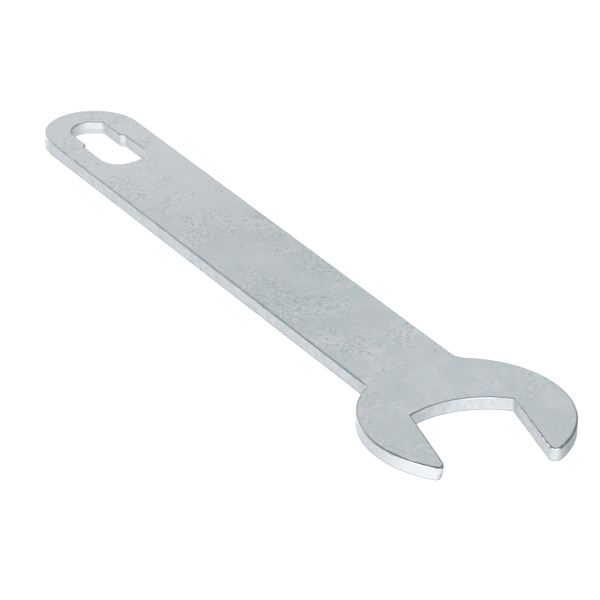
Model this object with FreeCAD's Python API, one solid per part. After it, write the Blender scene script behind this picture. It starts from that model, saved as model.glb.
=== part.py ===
import FreeCAD, Part
import math
import os
from FreeCAD import Vector

# Fixed open-end wrench, blanked in one piece from flat steel plate and zinc coated.
# A straight strap handle with a full-round hanging end carries a round head, and the
# jaw for the nut is cut into the head, turned a little to one side of the handle's line.
#
# Frame: +X runs along the handle from the hanging end to the jaw, +Z points out of the
# plate's upper face, and the plate lies on z = 0. The outline is first laid out with
# x = 0 at the centre of the handle's round end. At the end the whole plate is shifted
# along X, so that the origin is the bottom centre of its bounding box.

# Plate and outer outline
PLATE_THICKNESS = 4.15          # 4 mm plate with a zinc coat on both faces
HANDLE_WIDTH = 30.7
END_TO_NUT_CENTRE = 200.5       # centre of the round end to the nut's axis
HEAD_RADIUS = 30.55
FAR_NECK_RADIUS = 5.1           # where the handle runs into the head, on the +Y side
NEAR_NECK_RADIUS = 2.3          # the same on the -Y side, which is tighter

# Jaw
JAW_OPENING = 30.2              # across the flats of a 30 mm nut, with clearance
JAW_ANGLE = -14.7               # degrees from the handle's line, towards -Y
THROAT_RADIUS = 29.8            # shallow arc behind the nut
THROAT_DEPTH = 7.5              # its deepest point, behind the nut's axis
FAR_TIP_RADIUS = 2.05           # rounding of the +Y jaw's tip
NEAR_NOSE_START = 21.5          # along the jaw, where the -Y flat starts to curve away
NEAR_NOSE_RADIUS = 6.2
NEAR_TIP_RADIUS = 1.3           # corner left between that curve and the head's outline

# Hanging slot, which is stepped: narrow at the round end, wide towards the jaw
SLOT_CENTRE_Y = -0.36
SLOT_NARROW_WIDTH = 12.4
SLOT_WIDE_WIDTH = 14.9
SLOT_ROUND_X = -0.96            # centre of the narrow part's round end
SLOT_FACET_ANGLE = 162.0        # where the round end turns into a straight facet
SLOT_FACET_END_X = -4.34        # where that facet meets the +Y side
SLOT_STEP_START_X = 5.9
SLOT_STEP_END_X = 7.3
SLOT_END_RADIUS = 10.5          # shallow arc that closes the wide part
SLOT_END_X = 23.6               # its farthest point
SLOT_END_CORNER_RADIUS = 6.0    # between that arc and the wide part's sides
SLOT_CORNER_RADIUS = 0.5        # left in every other corner by the punch

# Edges left by the press and by the coating
ROLLED_EDGE_RADIUS = 0.4        # upper edges, rolled over as the plate was blanked
LOWER_EDGE_BREAK = 0.15


def arc(centre, start, end):
    """Arc of less than half a turn about centre, from start to end."""
    radius = (start - centre).Length
    middle = (start - centre) + (end - centre)
    middle.normalize()
    return Part.Arc(start, centre + middle * radius, end).toShape()


def line(start, end):
    return Part.makeLine(start, end)


def toward(start, target, distance):
    """The point that lies a distance from start in the direction of target."""
    direction = target - start
    direction.normalize()
    return start + direction * distance


def crossing(centre_a, radius_a, centre_b, radius_b):
    """Where two circles cross, on the left of the way from centre_a to centre_b."""
    apart = (centre_b - centre_a).Length
    reach = (apart ** 2 + radius_a ** 2 - radius_b ** 2) / (2 * apart)
    height = math.sqrt(radius_a ** 2 - reach ** 2)
    foot = toward(centre_a, centre_b, reach)
    along = toward(Vector(0, 0, 0), centre_b - centre_a, 1)
    return foot + Vector(-along.y, along.x, 0) * height


def in_jaw(along, across):
    """A point given along and across the jaw, measured from the nut's axis."""
    angle = math.radians(JAW_ANGLE)
    x = along * math.cos(angle) - across * math.sin(angle)
    y = along * math.sin(angle) + across * math.cos(angle)
    return Vector(END_TO_NUT_CENTRE + x, y, 0)


def jaw_side(head):
    """The jaw's edges, from the -Y tip round the throat to the +Y tip."""
    half_gap = JAW_OPENING / 2

    nose = in_jaw(NEAR_NOSE_START, -half_gap - NEAR_NOSE_RADIUS)
    near_tip = crossing(head, HEAD_RADIUS - NEAR_TIP_RADIUS,
                        nose, NEAR_NOSE_RADIUS - NEAR_TIP_RADIUS)
    near_tip_start = toward(head, near_tip, HEAD_RADIUS)
    nose_start = toward(nose, near_tip, NEAR_NOSE_RADIUS)
    nose_end = in_jaw(NEAR_NOSE_START, -half_gap)

    throat = in_jaw(THROAT_RADIUS - THROAT_DEPTH, 0)
    throat_corner = (THROAT_RADIUS - THROAT_DEPTH
                     - math.sqrt(THROAT_RADIUS ** 2 - half_gap ** 2))
    near_corner = in_jaw(throat_corner, -half_gap)
    far_corner = in_jaw(throat_corner, half_gap)

    tip_across = half_gap + FAR_TIP_RADIUS
    tip_along = math.sqrt((HEAD_RADIUS - FAR_TIP_RADIUS) ** 2 - tip_across ** 2)
    far_tip = in_jaw(tip_along, tip_across)
    far_tip_start = in_jaw(tip_along, half_gap)
    far_tip_end = toward(head, far_tip, HEAD_RADIUS)

    return near_tip_start, far_tip_end, [
        arc(near_tip, near_tip_start, nose_start),
        arc(nose, nose_start, nose_end),
        line(nose_end, near_corner),
        arc(throat, near_corner, far_corner),
        line(far_corner, far_tip_start),
        arc(far_tip, far_tip_start, far_tip_end),
    ]


def neck_centre(radius, side):
    """Centre of a neck fillet, which touches the handle's side and the head."""
    across = HANDLE_WIDTH / 2 + radius
    back = math.sqrt((HEAD_RADIUS + radius) ** 2 - across ** 2)
    return Vector(END_TO_NUT_CENTRE - back, side * across, 0)


def outer_outline():
    half_width = HANDLE_WIDTH / 2
    head = Vector(END_TO_NUT_CENTRE, 0, 0)
    near_neck = neck_centre(NEAR_NECK_RADIUS, -1)
    far_neck = neck_centre(FAR_NECK_RADIUS, 1)
    near_side_end = Vector(near_neck.x, -half_width, 0)
    far_side_end = Vector(far_neck.x, half_width, 0)
    near_head_start = toward(head, near_neck, HEAD_RADIUS)
    far_head_end = toward(head, far_neck, HEAD_RADIUS)
    near_tip, far_tip, jaw_edges = jaw_side(head)

    round_end_start = Vector(0, half_width, 0)
    round_end_end = Vector(0, -half_width, 0)
    edges = [Part.Arc(round_end_start, Vector(-half_width, 0, 0), round_end_end).toShape(),
             line(round_end_end, near_side_end),
             arc(near_neck, near_side_end, near_head_start),
             arc(head, near_head_start, near_tip)]
    edges += jaw_edges
    edges += [arc(head, far_tip, far_head_end),
              arc(far_neck, far_head_end, far_side_end),
              line(far_side_end, round_end_start)]
    return Part.Wire(edges)


def hanging_slot_outline():
    narrow = SLOT_NARROW_WIDTH / 2
    wide = SLOT_WIDE_WIDTH / 2
    end_centre = Vector(SLOT_END_X - SLOT_END_RADIUS, SLOT_CENTRE_Y, 0)
    wide_end_x = end_centre.x + math.sqrt(SLOT_END_RADIUS ** 2 - wide ** 2)
    round_end = Vector(SLOT_ROUND_X, SLOT_CENTRE_Y, 0)
    facet_angle = math.radians(SLOT_FACET_ANGLE)
    facet_start = round_end + Vector(math.cos(facet_angle), math.sin(facet_angle), 0) * narrow

    def side(across):
        """Corners of one side of the slot, from the round end to the wide end."""
        return [Vector(SLOT_STEP_START_X, SLOT_CENTRE_Y + across * narrow, 0),
                Vector(SLOT_STEP_END_X, SLOT_CENTRE_Y + across * wide, 0),
                Vector(wide_end_x, SLOT_CENTRE_Y + across * wide, 0)]

    far_side = [facet_start, Vector(SLOT_FACET_END_X, SLOT_CENTRE_Y + narrow, 0)] + side(1)
    near_side = [Vector(SLOT_ROUND_X, SLOT_CENTRE_Y - narrow, 0)] + side(-1)
    near_side.reverse()
    edges = [line(start, end) for start, end in zip(far_side, far_side[1:])]
    edges.append(arc(end_centre, far_side[-1], near_side[0]))
    edges += [line(start, end) for start, end in zip(near_side, near_side[1:])]
    edges.append(arc(round_end, near_side[-1], facet_start))
    return Part.Wire(edges)


def upright_edges(solid, from_x):
    """The solid's upright edges that stand farther along X than from_x."""
    return [edge for edge in solid.Edges
            if abs(edge.Vertexes[0].Z - edge.Vertexes[-1].Z) > PLATE_THICKNESS / 2
            and edge.Vertexes[0].X > from_x]


def slot_punch():
    """The slot as a solid of the plate's thickness, with its upright corners rounded."""
    punch = Part.Face(hanging_slot_outline()).extrude(Vector(0, 0, PLATE_THICKNESS))
    end_corners = upright_edges(punch, SLOT_STEP_END_X + SLOT_CORNER_RADIUS)
    punch = punch.makeFillet(SLOT_END_CORNER_RADIUS, end_corners)
    corners = [edge for edge in upright_edges(punch, -HANDLE_WIDTH)
               if edge.Vertexes[0].X < SLOT_STEP_END_X + SLOT_CORNER_RADIUS
               and abs(edge.Vertexes[0].X - SLOT_ROUND_X) > 1e-6]
    return punch.makeFillet(SLOT_CORNER_RADIUS, corners)


def edges_at_height(solid, height):
    """All edges of the solid that lie flat at one height."""
    return [edge for edge in solid.Edges
            if all(abs(vertex.Z - height) < 1e-6 for vertex in edge.Vertexes)]


def wrench_plate():
    plate = Part.Face(outer_outline()).extrude(Vector(0, 0, PLATE_THICKNESS))
    plate = plate.cut(slot_punch())
    middle = plate.BoundBox.Center
    plate = plate.makeFillet(ROLLED_EDGE_RADIUS, edges_at_height(plate, PLATE_THICKNESS))
    plate = plate.makeChamfer(LOWER_EDGE_BREAK, edges_at_height(plate, 0.0))
    plate.translate(Vector(-middle.x, -middle.y, 0))
    return plate


os.makedirs("parts", exist_ok=True)
plate = wrench_plate()
box = plate.optimalBoundingBox()
print("length %.2f width %.2f thickness %.2f mm" % (box.XLength, box.YLength, box.ZLength))
print("volume %.0f mm3, valid %s, solids %d" % (plate.Volume, plate.isValid(), len(plate.Solids)))
plate.exportStep("parts/wrench_plate.step")
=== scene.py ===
import math
import bmesh
import bpy
from mathutils import Matrix, Vector


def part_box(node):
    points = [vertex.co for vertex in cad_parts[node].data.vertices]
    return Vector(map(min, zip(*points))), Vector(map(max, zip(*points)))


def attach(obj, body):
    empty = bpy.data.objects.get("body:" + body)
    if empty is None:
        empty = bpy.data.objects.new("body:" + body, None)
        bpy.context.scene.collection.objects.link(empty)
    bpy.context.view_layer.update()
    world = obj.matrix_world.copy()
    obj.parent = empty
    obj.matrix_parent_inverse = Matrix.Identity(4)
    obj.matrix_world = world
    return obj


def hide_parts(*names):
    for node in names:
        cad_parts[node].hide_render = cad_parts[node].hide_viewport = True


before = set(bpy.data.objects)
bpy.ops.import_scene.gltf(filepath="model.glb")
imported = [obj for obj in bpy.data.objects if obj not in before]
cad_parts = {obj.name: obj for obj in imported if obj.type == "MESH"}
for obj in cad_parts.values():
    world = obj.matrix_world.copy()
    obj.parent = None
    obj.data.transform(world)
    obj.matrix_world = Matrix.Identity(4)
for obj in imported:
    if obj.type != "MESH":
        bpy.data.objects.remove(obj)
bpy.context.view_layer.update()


# ---------------------------------------------------------------------------------------
# Outside wall of the plate. The whole tool is one flat blank of 4 mm galvanised steel sheet,
# punched out in one stroke. The press rolls its upper edge over, leaves the wall upright
# below that, and breaks the last part of the wall away a little under size.

MM = 0.001
HANDLE_WIDTH = 30.7 * MM
END_TO_NUT_CENTRE = 200.5 * MM
HEAD_RADIUS = 30.55 * MM
FAR_NECK_RADIUS = 5.1 * MM
NEAR_NECK_RADIUS = 2.3 * MM
cad_low, cad_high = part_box("wrench_plate")
round_end = Vector((cad_low.x + HANDLE_WIDTH / 2, 0, 0))
head = round_end + Vector((END_TO_NUT_CENTRE, 0, 0))

# Jaw: parallel flats for a 30 mm nut, turned from the handle's line, with an arc behind it.
JAW_OPENING = 30.2 * MM
JAW_ANGLE = math.radians(-14.7)
THROAT_RADIUS = 29.8 * MM
THROAT_DEPTH = 7.5 * MM
FAR_TIP_RADIUS = 2.05 * MM
NEAR_NOSE_START = 21.5 * MM
NEAR_NOSE_RADIUS = 6.2 * MM
NEAR_TIP_RADIUS = 1.3 * MM

# The wall in profile, from mid height up and from mid height down: how far it has drawn in
# from the outline, and how high it is, in millimetres. The close steps up the wall give the
# torn steel points that can be sunk.
OUTLINE_STEP = 0.35 * MM
MID_HEIGHT = 2.1
PLATE_TOP = cad_high.z / MM
UP_OUTSIDE = [(0, 2.2), (0, 2.6), (0, 3.0), (0, 3.35), (0, 3.72), (0.01, 3.86), (0.05, 3.96),
              (0.12, 4.03), (0.22, 4.08), (0.38, 4.12), (0.62, PLATE_TOP)]
DOWN_OUTSIDE = [(0, 1.65), (0, 1.2), (0, 0.75), (0.01, 0.36), (0.03, 0.16), (0.08, 0.05), (0.17, 0)]


def start_outline(name, point):
    """A new mesh that is a single point, which the outline is then drawn from."""
    bpy.ops.object.select_all(action="DESELECT")
    bpy.ops.mesh.primitive_plane_add(size=MM, location=point)
    piece = bpy.context.object
    piece.name = name
    bpy.ops.object.transform_apply(location=True, rotation=True, scale=True)
    bpy.ops.object.mode_set(mode="EDIT")
    bpy.ops.mesh.select_mode(type="VERT")
    bpy.ops.mesh.select_all(action="SELECT")
    bpy.ops.mesh.merge(type="CENTER")
    return piece


def pen(piece):
    """Where the outline has got to: the one selected point."""
    mesh = bmesh.from_edit_mesh(piece.data)
    return next(vertex.co.copy() for vertex in mesh.verts if vertex.select)


def run_to(piece, point):
    """Draws a straight run, in short even steps."""
    way = point - pen(piece)
    steps = max(1, round(way.length / OUTLINE_STEP))
    for _ in range(steps):
        bpy.ops.mesh.extrude_region_move(TRANSFORM_OT_translate={"value": way / steps})


def swing_to(piece, centre, point):
    """Draws an arc of under half a turn about centre, up to point."""
    start = pen(piece) - centre
    turn = start.xy.angle_signed((point - centre).xy)
    steps = max(2, round(start.length * abs(turn) / OUTLINE_STEP))
    bpy.ops.mesh.spin(steps=steps, angle=turn, center=centre, axis=(0, 0, 1))


def close_outline():
    bpy.ops.mesh.select_all(action="SELECT")
    bpy.ops.mesh.remove_doubles(threshold=0.1 * MM)


def select_ring(piece, height):
    """Selects only the ring of points at one height, in millimetres."""
    bpy.ops.mesh.select_all(action="DESELECT")
    mesh = bmesh.from_edit_mesh(piece.data)
    for vertex in mesh.verts:
        vertex.select_set(abs(vertex.co.z / MM - height) < 0.01)
    mesh.select_flush(True)
    bmesh.update_edit_mesh(piece.data)


def grow_wall(profile, height_now):
    """Extrudes the selected ring from step to step of a profile, and draws it in."""
    inset_now = 0
    for inset, height in profile:
        rise = (0, 0, (height - height_now) * MM)
        bpy.ops.mesh.extrude_region_move(TRANSFORM_OT_translate={"value": rise})
        bpy.ops.transform.shrink_fatten(value=(inset_now - inset) * MM, use_even_offset=True)
        inset_now, height_now = inset, height


def raise_wall(piece, up, down, hole):
    """Makes the upright wall of an outline, from mid height up and then down."""
    bpy.ops.mesh.select_all(action="SELECT")
    bpy.ops.transform.translate(value=(0, 0, MID_HEIGHT * MM))
    grow_wall(up[:1], MID_HEIGHT)
    bpy.ops.mesh.select_all(action="SELECT")
    bpy.ops.mesh.normals_make_consistent(inside=hole)
    select_ring(piece, up[0][1])
    grow_wall(up[1:], up[0][1])
    select_ring(piece, MID_HEIGHT)
    grow_wall(down, MID_HEIGHT)
    bpy.ops.object.mode_set(mode="OBJECT")


def in_jaw(along, across):
    """A point given along and across the jaw, measured from the nut's axis."""
    return head + Matrix.Rotation(JAW_ANGLE, 3, "Z") @ Vector((along, across, 0))


def toward(start, target, distance):
    return start + (target - start).normalized() * distance


def neck_centre(radius, side):
    """Centre of a neck fillet, which touches the handle's side and the head."""
    across = HANDLE_WIDTH / 2 + radius
    back = math.sqrt((HEAD_RADIUS + radius) ** 2 - across ** 2)
    return head + Vector((-back, side * across, 0))


half_width = Vector((0, HANDLE_WIDTH / 2, 0))
half_gap = JAW_OPENING / 2
near_neck = neck_centre(NEAR_NECK_RADIUS, -1)
far_neck = neck_centre(FAR_NECK_RADIUS, 1)

# The near tip's corner touches the head's outline and the nose curve from inside both.
nose = in_jaw(NEAR_NOSE_START, -half_gap - NEAR_NOSE_RADIUS)
to_nose = nose - head
from_head = HEAD_RADIUS - NEAR_TIP_RADIUS
from_nose = NEAR_NOSE_RADIUS - NEAR_TIP_RADIUS
reach = (to_nose.length ** 2 + from_head ** 2 - from_nose ** 2) / (2 * to_nose.length)
beside = Vector((-to_nose.y, to_nose.x, 0)).normalized() * math.sqrt(from_head ** 2 - reach ** 2)
near_tip = toward(head, nose, reach) + beside

throat = in_jaw(THROAT_RADIUS - THROAT_DEPTH, 0)
throat_corner = THROAT_RADIUS - THROAT_DEPTH - math.sqrt(THROAT_RADIUS ** 2 - half_gap ** 2)
tip_across = half_gap + FAR_TIP_RADIUS
tip_along = math.sqrt((HEAD_RADIUS - FAR_TIP_RADIUS) ** 2 - tip_across ** 2)
far_tip = in_jaw(tip_along, tip_across)

plate = start_outline("wrench_blank", round_end + half_width)
swing_to(plate, round_end, round_end - Vector((HANDLE_WIDTH / 2, 0, 0)))
swing_to(plate, round_end, round_end - half_width)
run_to(plate, Vector((near_neck.x, -half_width.y, 0)))
swing_to(plate, near_neck, toward(head, near_neck, HEAD_RADIUS))
swing_to(plate, head, toward(head, near_tip, HEAD_RADIUS))
swing_to(plate, near_tip, toward(nose, near_tip, NEAR_NOSE_RADIUS))
swing_to(plate, nose, in_jaw(NEAR_NOSE_START, -half_gap))
run_to(plate, in_jaw(throat_corner, -half_gap))
swing_to(plate, throat, in_jaw(throat_corner, half_gap))
run_to(plate, in_jaw(tip_along, half_gap))
swing_to(plate, far_tip, toward(head, far_tip, HEAD_RADIUS))
swing_to(plate, head, toward(head, far_neck, HEAD_RADIUS))
swing_to(plate, far_neck, Vector((far_neck.x, half_width.y, 0)))
run_to(plate, round_end + half_width)
close_outline()
raise_wall(plate, UP_OUTSIDE, DOWN_OUTSIDE, hole=False)


# ---------------------------------------------------------------------------------------
# Hanging slot's wall: the same press stroke punches the stepped slot through the handle's
# round end. The punch leaves a crisp hole above, and the steel breaks out wider below.

SLOT_CENTRE_Y = -0.36 * MM
SLOT_NARROW_WIDTH = 12.4 * MM
SLOT_WIDE_WIDTH = 14.9 * MM
SLOT_ROUND_X = -0.96
SLOT_FACET_ANGLE = math.radians(162)
SLOT_FACET_END_X = -4.34
SLOT_STEP_START_X = 5.9
SLOT_STEP_END_X = 7.3
SLOT_END_X = 23.6
SLOT_END_RADIUS = 10.5 * MM
SLOT_END_CORNER_RADIUS = 6.0 * MM
SLOT_CORNER_RADIUS = 0.5 * MM
UP_SLOT = [(0, 2.2), (0, 2.6), (0, 3.0), (0, 3.35), (0, 3.76), (0.01, 3.9), (0.04, 3.99), (0.09, 4.06),
           (0.17, 4.1), (0.28, 4.13), (0.42, PLATE_TOP)]
DOWN_SLOT = [(0.02, 1.65), (0.08, 1.2), (0.14, 0.75), (0.19, 0.36), (0.22, 0.16), (0.28, 0.05),
             (0.38, 0)]


def on_slot_line(x):
    """A point on the slot's centre line, in millimetres from the handle's round end's centre."""
    return round_end + Vector((x * MM, SLOT_CENTRE_Y, 0))


def turn_corner(piece, before, corner, after):
    """Runs up to a corner and round it, on the small radius that the punch leaves."""
    back = (before - corner).normalized()
    ahead = (after - corner).normalized()
    half = back.angle(ahead) / 2
    start = corner + back * SLOT_CORNER_RADIUS / math.tan(half)
    end = corner + ahead * SLOT_CORNER_RADIUS / math.tan(half)
    centre = corner + (back + ahead).normalized() * SLOT_CORNER_RADIUS / math.sin(half)
    run_to(piece, start)
    swing_to(piece, centre, end)


narrow = Vector((0, SLOT_NARROW_WIDTH / 2, 0))
wide = Vector((0, SLOT_WIDE_WIDTH / 2, 0))
slot_round = on_slot_line(SLOT_ROUND_X)
facet_start = slot_round + Matrix.Rotation(SLOT_FACET_ANGLE, 3, "Z") @ Vector((narrow.y, 0, 0))
facet_end = on_slot_line(SLOT_FACET_END_X) + narrow
step_start = on_slot_line(SLOT_STEP_START_X)
step_end = on_slot_line(SLOT_STEP_END_X)
slot_end = on_slot_line(SLOT_END_X) - Vector((SLOT_END_RADIUS, 0, 0))
corner_across = wide.y - SLOT_END_CORNER_RADIUS
corner_back = math.sqrt((SLOT_END_RADIUS - SLOT_END_CORNER_RADIUS) ** 2 - corner_across ** 2)
far_corner = slot_end + Vector((corner_back, corner_across, 0))
near_corner = slot_end + Vector((corner_back, -corner_across, 0))
corner_to_side = Vector((0, SLOT_END_CORNER_RADIUS, 0))

slot_wall = start_outline("hanging_slot_wall", slot_round - narrow)
swing_to(slot_wall, slot_round, slot_round - Vector((narrow.y, 0, 0)))
swing_to(slot_wall, slot_round, facet_start)
turn_corner(slot_wall, facet_start, facet_end, step_start + narrow)
run_to(slot_wall, step_start + narrow)
turn_corner(slot_wall, step_start + narrow, step_end + wide, far_corner + corner_to_side)
run_to(slot_wall, far_corner + corner_to_side)
swing_to(slot_wall, far_corner, toward(slot_end, far_corner, SLOT_END_RADIUS))
swing_to(slot_wall, slot_end, toward(slot_end, near_corner, SLOT_END_RADIUS))
swing_to(slot_wall, near_corner, near_corner - corner_to_side)
turn_corner(slot_wall, near_corner - corner_to_side, step_end - wide, step_start - narrow)
run_to(slot_wall, step_start - narrow)
run_to(slot_wall, slot_round - narrow)
close_outline()
raise_wall(slot_wall, UP_SLOT, DOWN_SLOT, hole=True)

# This wall's points are marked so that the material paints light onto it: painted light on the slot's wall,
# which lies in the plate's shade.
slot_painted_light = slot_wall.data.attributes.new("slot_painted_light", "FLOAT", "POINT")
slot_painted_light.data.foreach_set("value", [1] * len(slot_wall.data.vertices))


# ---------------------------------------------------------------------------------------
# The plate as one solid: the two walls are joined by the sheet's flat faces. The near
# jaw's tip is worn back at the underside, and the torn steel of walls and edges is uneven.

BORDER = 0.08 * MM
TIP_WEAR = 0.6 * MM
TIP_WEAR_REACH = 2.8 * MM
TORN_EDGE_LUMP = 1.6 * MM
TORN_EDGE_DEPTH = 0.15 * MM
TORN_WALL_LUMP = 2.2 * MM
TORN_WALL_DEPTH = 0.08 * MM
TIP_WEAR_HEIGHT = 0.06 * MM
ROLLED_EDGE_HEIGHTS = (3.8, 4.125)
CUT_WALL_HEIGHTS = (0.2, 3.7)
LEAST_TEAR = 0.2

bpy.ops.object.select_all(action="DESELECT")
slot_wall.select_set(True)
plate.select_set(True)
bpy.context.view_layer.objects.active = plate
bpy.ops.object.join()
bpy.ops.object.mode_set(mode="EDIT")
bpy.ops.mesh.select_mode(type="EDGE")
for height in (0, PLATE_TOP):
    bpy.ops.mesh.select_all(action="DESELECT")
    mesh = bmesh.from_edit_mesh(plate.data)
    for edge in mesh.edges:
        if edge.is_boundary and abs(edge.verts[0].co.z / MM - height) < 0.01:
            edge.select_set(True)
    bmesh.update_edit_mesh(plate.data)
    bpy.ops.mesh.fill(use_beauty=True)
    bpy.ops.mesh.inset(thickness=BORDER)

bpy.ops.mesh.select_mode(type="VERT")
bpy.ops.mesh.select_all(action="DESELECT")
mesh = bmesh.from_edit_mesh(plate.data)
for vertex in mesh.verts:
    if vertex.co.z < TIP_WEAR_HEIGHT and (vertex.co.xy - near_tip.xy).dot((near_tip - head).xy) > 0:
        vertex.select_set((vertex.co.xy - near_tip.xy).length < 1.5 * NEAR_TIP_RADIUS)
mesh.select_flush(True)
bmesh.update_edit_mesh(plate.data)
worn_back = Matrix.Rotation(-math.pi / 2, 3, "Z") @ (near_tip - head).normalized() * TIP_WEAR
bpy.ops.transform.translate(value=worn_back, use_proportional_edit=True,
                            proportional_edit_falloff="SMOOTH", proportional_size=TIP_WEAR_REACH)
bpy.ops.mesh.select_all(action="SELECT")
bpy.ops.mesh.normals_make_consistent(inside=False)
bpy.ops.object.mode_set(mode="OBJECT")


def roughen(piece, name, weight_at, size, depth, contrast):
    """Sinks points unevenly along their normals, by about depth, in lumps of one size."""
    group = piece.vertex_groups.new(name=name)
    for vertex in piece.data.vertices:
        weight = weight_at(vertex.co)
        if weight > 0:
            group.add([vertex.index], weight, "REPLACE")
    lumps = bpy.data.textures.new(name, "CLOUDS")
    lumps.noise_scale = size
    lumps.noise_depth = 2
    lumps.contrast = contrast
    modifier = piece.modifiers.new(name, "DISPLACE")
    modifier.texture = lumps
    modifier.texture_coords = "LOCAL"
    modifier.direction = "NORMAL"
    # Only the few strongest lumps pass this level, so the surface is hardly ever raised.
    modifier.mid_level = 1.15
    modifier.strength = depth
    modifier.vertex_group = name
    bpy.ops.object.modifier_apply(modifier=name)


def on_rolled_edge(point):
    """Full at the jaw's tips, where the edge is torn, and light elsewhere."""
    lowest, highest = ROLLED_EDGE_HEIGHTS
    if not lowest < point.z / MM < highest:
        return 0
    from_tip = min((point.xy - tip.xy).length for tip in (near_tip, far_tip)) / HEAD_RADIUS
    return max(LEAST_TEAR, 1 - from_tip)


def on_cut_wall(point):
    lowest, highest = CUT_WALL_HEIGHTS
    return 1 if lowest < point.z / MM < highest else 0


roughen(plate, "torn_edge", on_rolled_edge, TORN_EDGE_LUMP, TORN_EDGE_DEPTH, contrast=2.5)
roughen(plate, "torn_wall", on_cut_wall, TORN_WALL_LUMP, TORN_WALL_DEPTH, contrast=1)
bpy.ops.object.shade_smooth()


def linear(hex_colour):
    """An sRGB hex colour as the linear RGBA that a shader socket takes."""
    channels = [int(hex_colour[i:i + 2], 16) / 255 for i in (1, 3, 5)]
    return [c / 12.92 if c <= 0.04045 else ((c + 0.055) / 1.055) ** 2.4 for c in channels] + [1]


def add_node(tree, kind, settings, inputs, output):
    """Adds a node with its settings and its inputs, linked or set, and returns one output."""
    node = tree.nodes.new(kind)
    for name, value in settings.items():
        setattr(node, name, value)
    for socket, value in inputs.items():
        if isinstance(value, bpy.types.NodeSocket):
            tree.links.new(value, node.inputs[socket])
        else:
            node.inputs[socket].default_value = value
    return node.outputs[output]


# Galvanised steel sheet, blanked after it was coated: a cool, pale grey metal with a satin
# sheen, cloudy instead of bright, whose edges show darker, torn steel with less shine. The
# rolled top edge is painted darker: partly the greyer steel there, partly painted shade.
zinc = bpy.data.materials.new("galvanised_steel_blanked")
zinc.use_nodes = True
tree = zinc.node_tree
shader = tree.nodes["Principled BSDF"]
shader.inputs["Metallic"].default_value = 1
place = add_node(tree, "ShaderNodeTexCoord", {}, {}, "Object")
above_floor = add_node(tree, "ShaderNodeSeparateXYZ", {}, {"Vector": place}, "Z")
normal = add_node(tree, "ShaderNodeNewGeometry", {}, {}, "Normal")
upward = add_node(tree, "ShaderNodeSeparateXYZ", {}, {"Vector": normal}, "Z")

# How steep the surface is tells the flat faces, the rolled edge and the cut wall apart.
flatness = add_node(tree, "ShaderNodeMath", {"operation": "ABSOLUTE"}, {0: upward}, 0)
cut = add_node(tree, "ShaderNodeMapRange", {"interpolation_type": "SMOOTHSTEP"},
               {"Value": flatness, "From Min": 0.30, "From Max": 0.12}, "Result")
above_wall = add_node(tree, "ShaderNodeMapRange", {"interpolation_type": "SMOOTHSTEP"},
                      {"Value": upward, "From Min": 0.08, "From Max": 0.22}, "Result")
# The rolled edge's colour is picked by how far its normal tilts: partly the greyer steel of the edge, partly
# painted shade in a soft band along it.
rolled_edge_shade = add_node(tree, "ShaderNodeMapRange", {"interpolation_type": "SMOOTHSTEP"},
                  {"Value": flatness, "From Min": 0.997, "From Max": 0.96}, "Result")
rolled_edge_shade = add_node(tree, "ShaderNodeMath", {"operation": "MULTIPLY"}, {0: above_wall, 1: rolled_edge_shade}, 0)

# The zinc on the flat faces dries in cloudy patches, and the faces are paler towards the hanging end. It
# carries clusters of fine pits and bright crystals, a little under a millimetre apart.
HUE_SIZE = 4.5 * MM
PATCH_SIZE = 11 * MM
CLUSTER_SIZE = 15 * MM
SPECK_SPACING = 0.9 * MM
ZINC_BLUISH = "#a9b3b6"
ZINC_NEUTRAL = "#b5b6b9"
ZINC_PATCH = "#a6adaf"
ZINC_PALE = "#c0c3c6"
ZINC_PIT = "#88949a"
ZINC_CRYSTAL = "#c6cbcc"
ROLLED_EDGE_SHADE = "#868c8f"

hue = add_node(tree, "ShaderNodeTexNoise", {},
               {"Vector": place, "Scale": 1 / HUE_SIZE, "Detail": 2, "Roughness": 0.6}, "Fac")
hue = add_node(tree, "ShaderNodeMapRange", {},
               {"Value": hue, "From Min": 0.35, "From Max": 0.65}, "Result")
patches = add_node(tree, "ShaderNodeTexNoise", {},
                   {"Vector": place, "Scale": 1 / PATCH_SIZE, "Detail": 3, "Roughness": 0.55}, "Fac")
patches = add_node(tree, "ShaderNodeMapRange", {},
                   {"Value": patches, "From Min": 0.35, "From Max": 0.65}, "Result")
to_end = add_node(tree, "ShaderNodeVectorMath", {"operation": "DISTANCE"}, {0: place, 1: round_end}, "Value")
pale = add_node(tree, "ShaderNodeMapRange", {"interpolation_type": "SMOOTHSTEP"},
                {"Value": to_end, "From Min": 110 * MM, "From Max": 10 * MM, "To Max": 0.8}, "Result")
clusters = add_node(tree, "ShaderNodeTexNoise", {},
                    {"Vector": place, "Scale": 1 / CLUSTER_SIZE, "Detail": 3, "Roughness": 0.6}, "Fac")
clusters = add_node(tree, "ShaderNodeMapRange", {},
                    {"Value": clusters, "From Min": 0.46, "From Max": 0.58, "To Min": 0.12}, "Result")
specks = add_node(tree, "ShaderNodeTexNoise", {},
                  {"Vector": place, "Scale": 1 / SPECK_SPACING, "Detail": 3, "Roughness": 0.7}, "Fac")
pits = add_node(tree, "ShaderNodeMapRange", {},
                {"Value": specks, "From Min": 0.53, "From Max": 0.60, "To Max": 0.58}, "Result")
pits = add_node(tree, "ShaderNodeMath", {"operation": "MULTIPLY"}, {0: pits, 1: clusters}, 0)
crystals = add_node(tree, "ShaderNodeMapRange", {},
                    {"Value": specks, "From Min": 0.47, "From Max": 0.40, "To Max": 0.42}, "Result")
crystals = add_node(tree, "ShaderNodeMath", {"operation": "MULTIPLY"}, {0: crystals, 1: clusters}, 0)
face = add_node(tree, "ShaderNodeMix", {"data_type": "RGBA"},
                {0: hue, 6: linear(ZINC_BLUISH), 7: linear(ZINC_NEUTRAL)}, 2)
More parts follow.
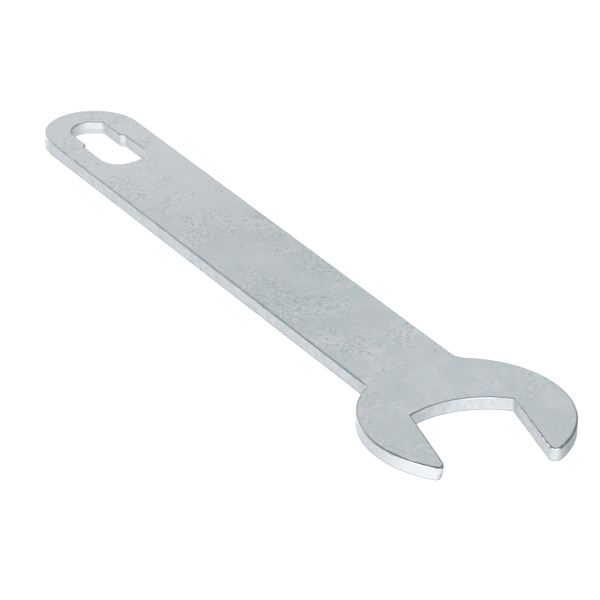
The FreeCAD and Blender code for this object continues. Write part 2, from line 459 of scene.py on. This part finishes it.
for amount, colour in ((patches, ZINC_PATCH), (pale, ZINC_PALE), (pits, ZINC_PIT),
                       (crystals, ZINC_CRYSTAL), (rolled_edge_shade, ROLLED_EDGE_SHADE)):
    face = add_node(tree, "ShaderNodeMix", {"data_type": "RGBA"}, {0: amount, 6: face, 7: linear(colour)}, 2)

# The cut wall is duller, torn steel. Painted light brightens it at the near jaw's tip and in
# the slot, painted shade darkens it on the far jaw's outside, and it is darker at the bottom.
TEAR_SIZE = 1.6 * MM
STEEL_TORN = "#a3a8ab"
STEEL_SHEARED = "#b5b8bb"
STEEL_NEAR_TIP_HIGHLIGHT = "#bbbdbf"
STEEL_NEAR_FLOOR = "#6a6e71"
STEEL_FAR_SIDE_SHADE = "#8a8f93"
STEEL_SLOT_LIGHT = "#b8bbbe"
SHADED_SIDE_ANGLE = math.radians(44)

tear = add_node(tree, "ShaderNodeTexNoise", {},
                {"Vector": place, "Scale": 1 / TEAR_SIZE, "Detail": 3, "Roughness": 0.6}, "Fac")
tear = add_node(tree, "ShaderNodeMapRange", {}, {"Value": tear, "From Min": 0.3, "From Max": 0.7}, "Result")
to_tip = add_node(tree, "ShaderNodeVectorMath", {"operation": "DISTANCE"}, {0: place, 1: near_tip}, "Value")
# Painted highlight: the wall near the near jaw's tip, which faces the key light, is painted brighter.
near_tip_highlight = add_node(tree, "ShaderNodeMapRange", {"interpolation_type": "SMOOTHSTEP"},
                  {"Value": to_tip, "From Min": 22 * MM, "From Max": 10 * MM, "To Max": 0.8}, "Result")
# The wall's lowest half millimetre, next to the floor, is darker.
near_floor_dark = add_node(tree, "ShaderNodeMapRange", {"interpolation_type": "SMOOTHSTEP"},
                {"Value": above_floor, "From Min": 0.5 * MM, "From Max": 0.15 * MM, "To Max": 0.6}, "Result")
# Painted shade: the wall on the far jaw's outside, which faces away from the lamps, is painted darker.
far_side = head + Matrix.Rotation(SHADED_SIDE_ANGLE, 3, "Z") @ Vector((HEAD_RADIUS, 0, 0))
to_side = add_node(tree, "ShaderNodeVectorMath", {"operation": "DISTANCE"}, {0: place, 1: far_side}, "Value")
far_side_shade = add_node(tree, "ShaderNodeMapRange", {"interpolation_type": "SMOOTHSTEP"},
                {"Value": to_side, "From Min": 12 * MM, "From Max": 7.5 * MM, "To Max": 0.62}, "Result")
# Painted light: the slot's wall is painted brighter.
slot_light_amount = add_node(tree, "ShaderNodeAttribute", {"attribute_name": "slot_painted_light"}, {}, "Fac")
wall = add_node(tree, "ShaderNodeMix", {"data_type": "RGBA"},
                {0: tear, 6: linear(STEEL_TORN), 7: linear(STEEL_SHEARED)}, 2)
for amount, colour in ((near_tip_highlight, STEEL_NEAR_TIP_HIGHLIGHT), (near_floor_dark, STEEL_NEAR_FLOOR), (far_side_shade, STEEL_FAR_SIDE_SHADE),
                       (slot_light_amount, STEEL_SLOT_LIGHT)):
    wall = add_node(tree, "ShaderNodeMix", {"data_type": "RGBA"}, {0: amount, 6: wall, 7: linear(colour)}, 2)
finish = add_node(tree, "ShaderNodeMix", {"data_type": "RGBA"}, {0: cut, 6: face, 7: wall}, 2)
tree.links.new(finish, shader.inputs["Base Color"])

# A satin sheen on the faces, and less of it on the torn wall. Grain and ripples are so
# shallow that they only break up the sheen. Real zinc grain is finer than 0.7 mm, and is
# drawn at that size so that it shows.
GRAIN_SIZE = 0.7 * MM
RIPPLE_SIZE = 2 * MM
RELIEF = 0.016 * MM

grain = add_node(tree, "ShaderNodeTexNoise", {},
                 {"Vector": place, "Scale": 1 / GRAIN_SIZE, "Detail": 3, "Roughness": 0.7}, "Fac")
sheen = add_node(tree, "ShaderNodeMapRange", {},
                 {"Value": grain, "From Min": 0.3, "From Max": 0.7, "To Min": 0.40, "To Max": 0.50}, "Result")
sheen = add_node(tree, "ShaderNodeMath", {"operation": "MULTIPLY_ADD"}, {0: cut, 1: 0.17, 2: sheen}, 0)
tree.links.new(sheen, shader.inputs["Roughness"])
ripples = add_node(tree, "ShaderNodeTexNoise", {}, {"Vector": place, "Scale": 1 / RIPPLE_SIZE}, "Fac")
relief = add_node(tree, "ShaderNodeMath", {"operation": "ADD"}, {0: grain, 1: ripples}, 0)
bump = add_node(tree, "ShaderNodeBump", {}, {"Distance": RELIEF, "Height": relief}, "Normal")
tree.links.new(bump, shader.inputs["Normal"])
plate.data.materials.clear()
plate.data.materials.append(zinc)

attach(plate, "root")
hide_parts("wrench_plate")


# ---------------------------------------------------------------------------------------
# Floor: a light table topped with one sheet of opal acrylic, which glows evenly from below
# and so keeps the shadow beside the thin plate pale.

FLOOR_SIZE = 8
FLOOR_GAP = 0.02 * MM

bpy.ops.object.select_all(action="DESELECT")
bpy.ops.mesh.primitive_plane_add(size=FLOOR_SIZE, location=(0, 0, cad_low.z - FLOOR_GAP))
floor = bpy.context.object
floor.name = "floor"
acrylic = bpy.data.materials.new("opal_acrylic_lit_from_below")
acrylic.use_nodes = True
surface = acrylic.node_tree.nodes["Principled BSDF"]
surface.inputs["Base Color"].default_value = linear("#929292")
surface.inputs["Roughness"].default_value = 0.8
surface.inputs["Emission Color"].default_value = linear("#ffffff")
surface.inputs["Emission Strength"].default_value = 0.72
floor.data.materials.append(acrylic)


# ---------------------------------------------------------------------------------------
# Light: a wide, low soft box behind the wrench, which its upper face mirrors, and a smaller
# one above it for the rolled edges. Four low boxes stand round the near side, each
# for the cut walls that face it, and the room beyond them is dim and even.

BOX_DISTANCE = 1.6
BOX_SIZE = 0.8
BACK_BOX_SIZE = 1.5


def soft_box(name, azimuth, elevation, size, radiance):
    """A square area light aimed at the wrench from two angles in degrees."""
    light = bpy.data.lights.new(name, "AREA")
    light.size = size
    light.energy = radiance * math.pi * size ** 2
    lamp = bpy.data.objects.new(name, light)
    bpy.context.collection.objects.link(lamp)
    azimuth, elevation = math.radians(azimuth), math.radians(elevation)
    away = Vector((math.cos(azimuth) * math.cos(elevation), math.sin(azimuth) * math.cos(elevation),
                   math.sin(elevation)))
    lamp.location = away * BOX_DISTANCE
    lamp.rotation_euler = away.to_track_quat("Z", "Y").to_euler()


soft_box("back_box", 141, 26, BACK_BOX_SIZE, 0.86)
soft_box("top_box", 132, 54, BOX_SIZE, 1.9)
soft_box("left_box", -170, 12, BOX_SIZE, 13.5)
soft_box("key_box", -80, 22, BOX_SIZE, 17.5)
soft_box("front_box", -20, 22, BOX_SIZE, 16.5)
soft_box("right_box", 20, 22, BOX_SIZE, 6)
world = bpy.data.worlds.new("studio")
bpy.context.scene.world = world
world.use_nodes = True
world.node_tree.nodes["Background"].inputs["Color"].default_value = linear("#f2f5f8")
world.node_tree.nodes["Background"].inputs["Strength"].default_value = 0.12
bpy.context.scene.view_settings.view_transform = "Standard"


# ---------------------------------------------------------------------------------------
# Camera: a long lens, looking down along the handle from in front of the jaw.

AZIMUTH = math.radians(56.19)
ELEVATION = math.radians(29.087)
ROLL = math.radians(1.176)
DISTANCE = 1128.03 * MM
LENS = 233.99
aim = Vector((13.15, -1.81, 1.75)) * MM
turn = Matrix.Rotation(AZIMUTH, 4, "Z") @ Matrix.Rotation(math.pi / 2 - ELEVATION, 4, "X")
camera = bpy.data.objects.new("camera", bpy.data.cameras.new("camera"))
bpy.context.collection.objects.link(camera)
camera.data.sensor_width = 36
camera.data.lens = LENS
camera.matrix_world = (Matrix.Translation(aim) @ turn @ Matrix.Rotation(ROLL, 4, "Z")
                       @ Matrix.Translation((0, 0, DISTANCE)))
bpy.context.scene.camera = camera
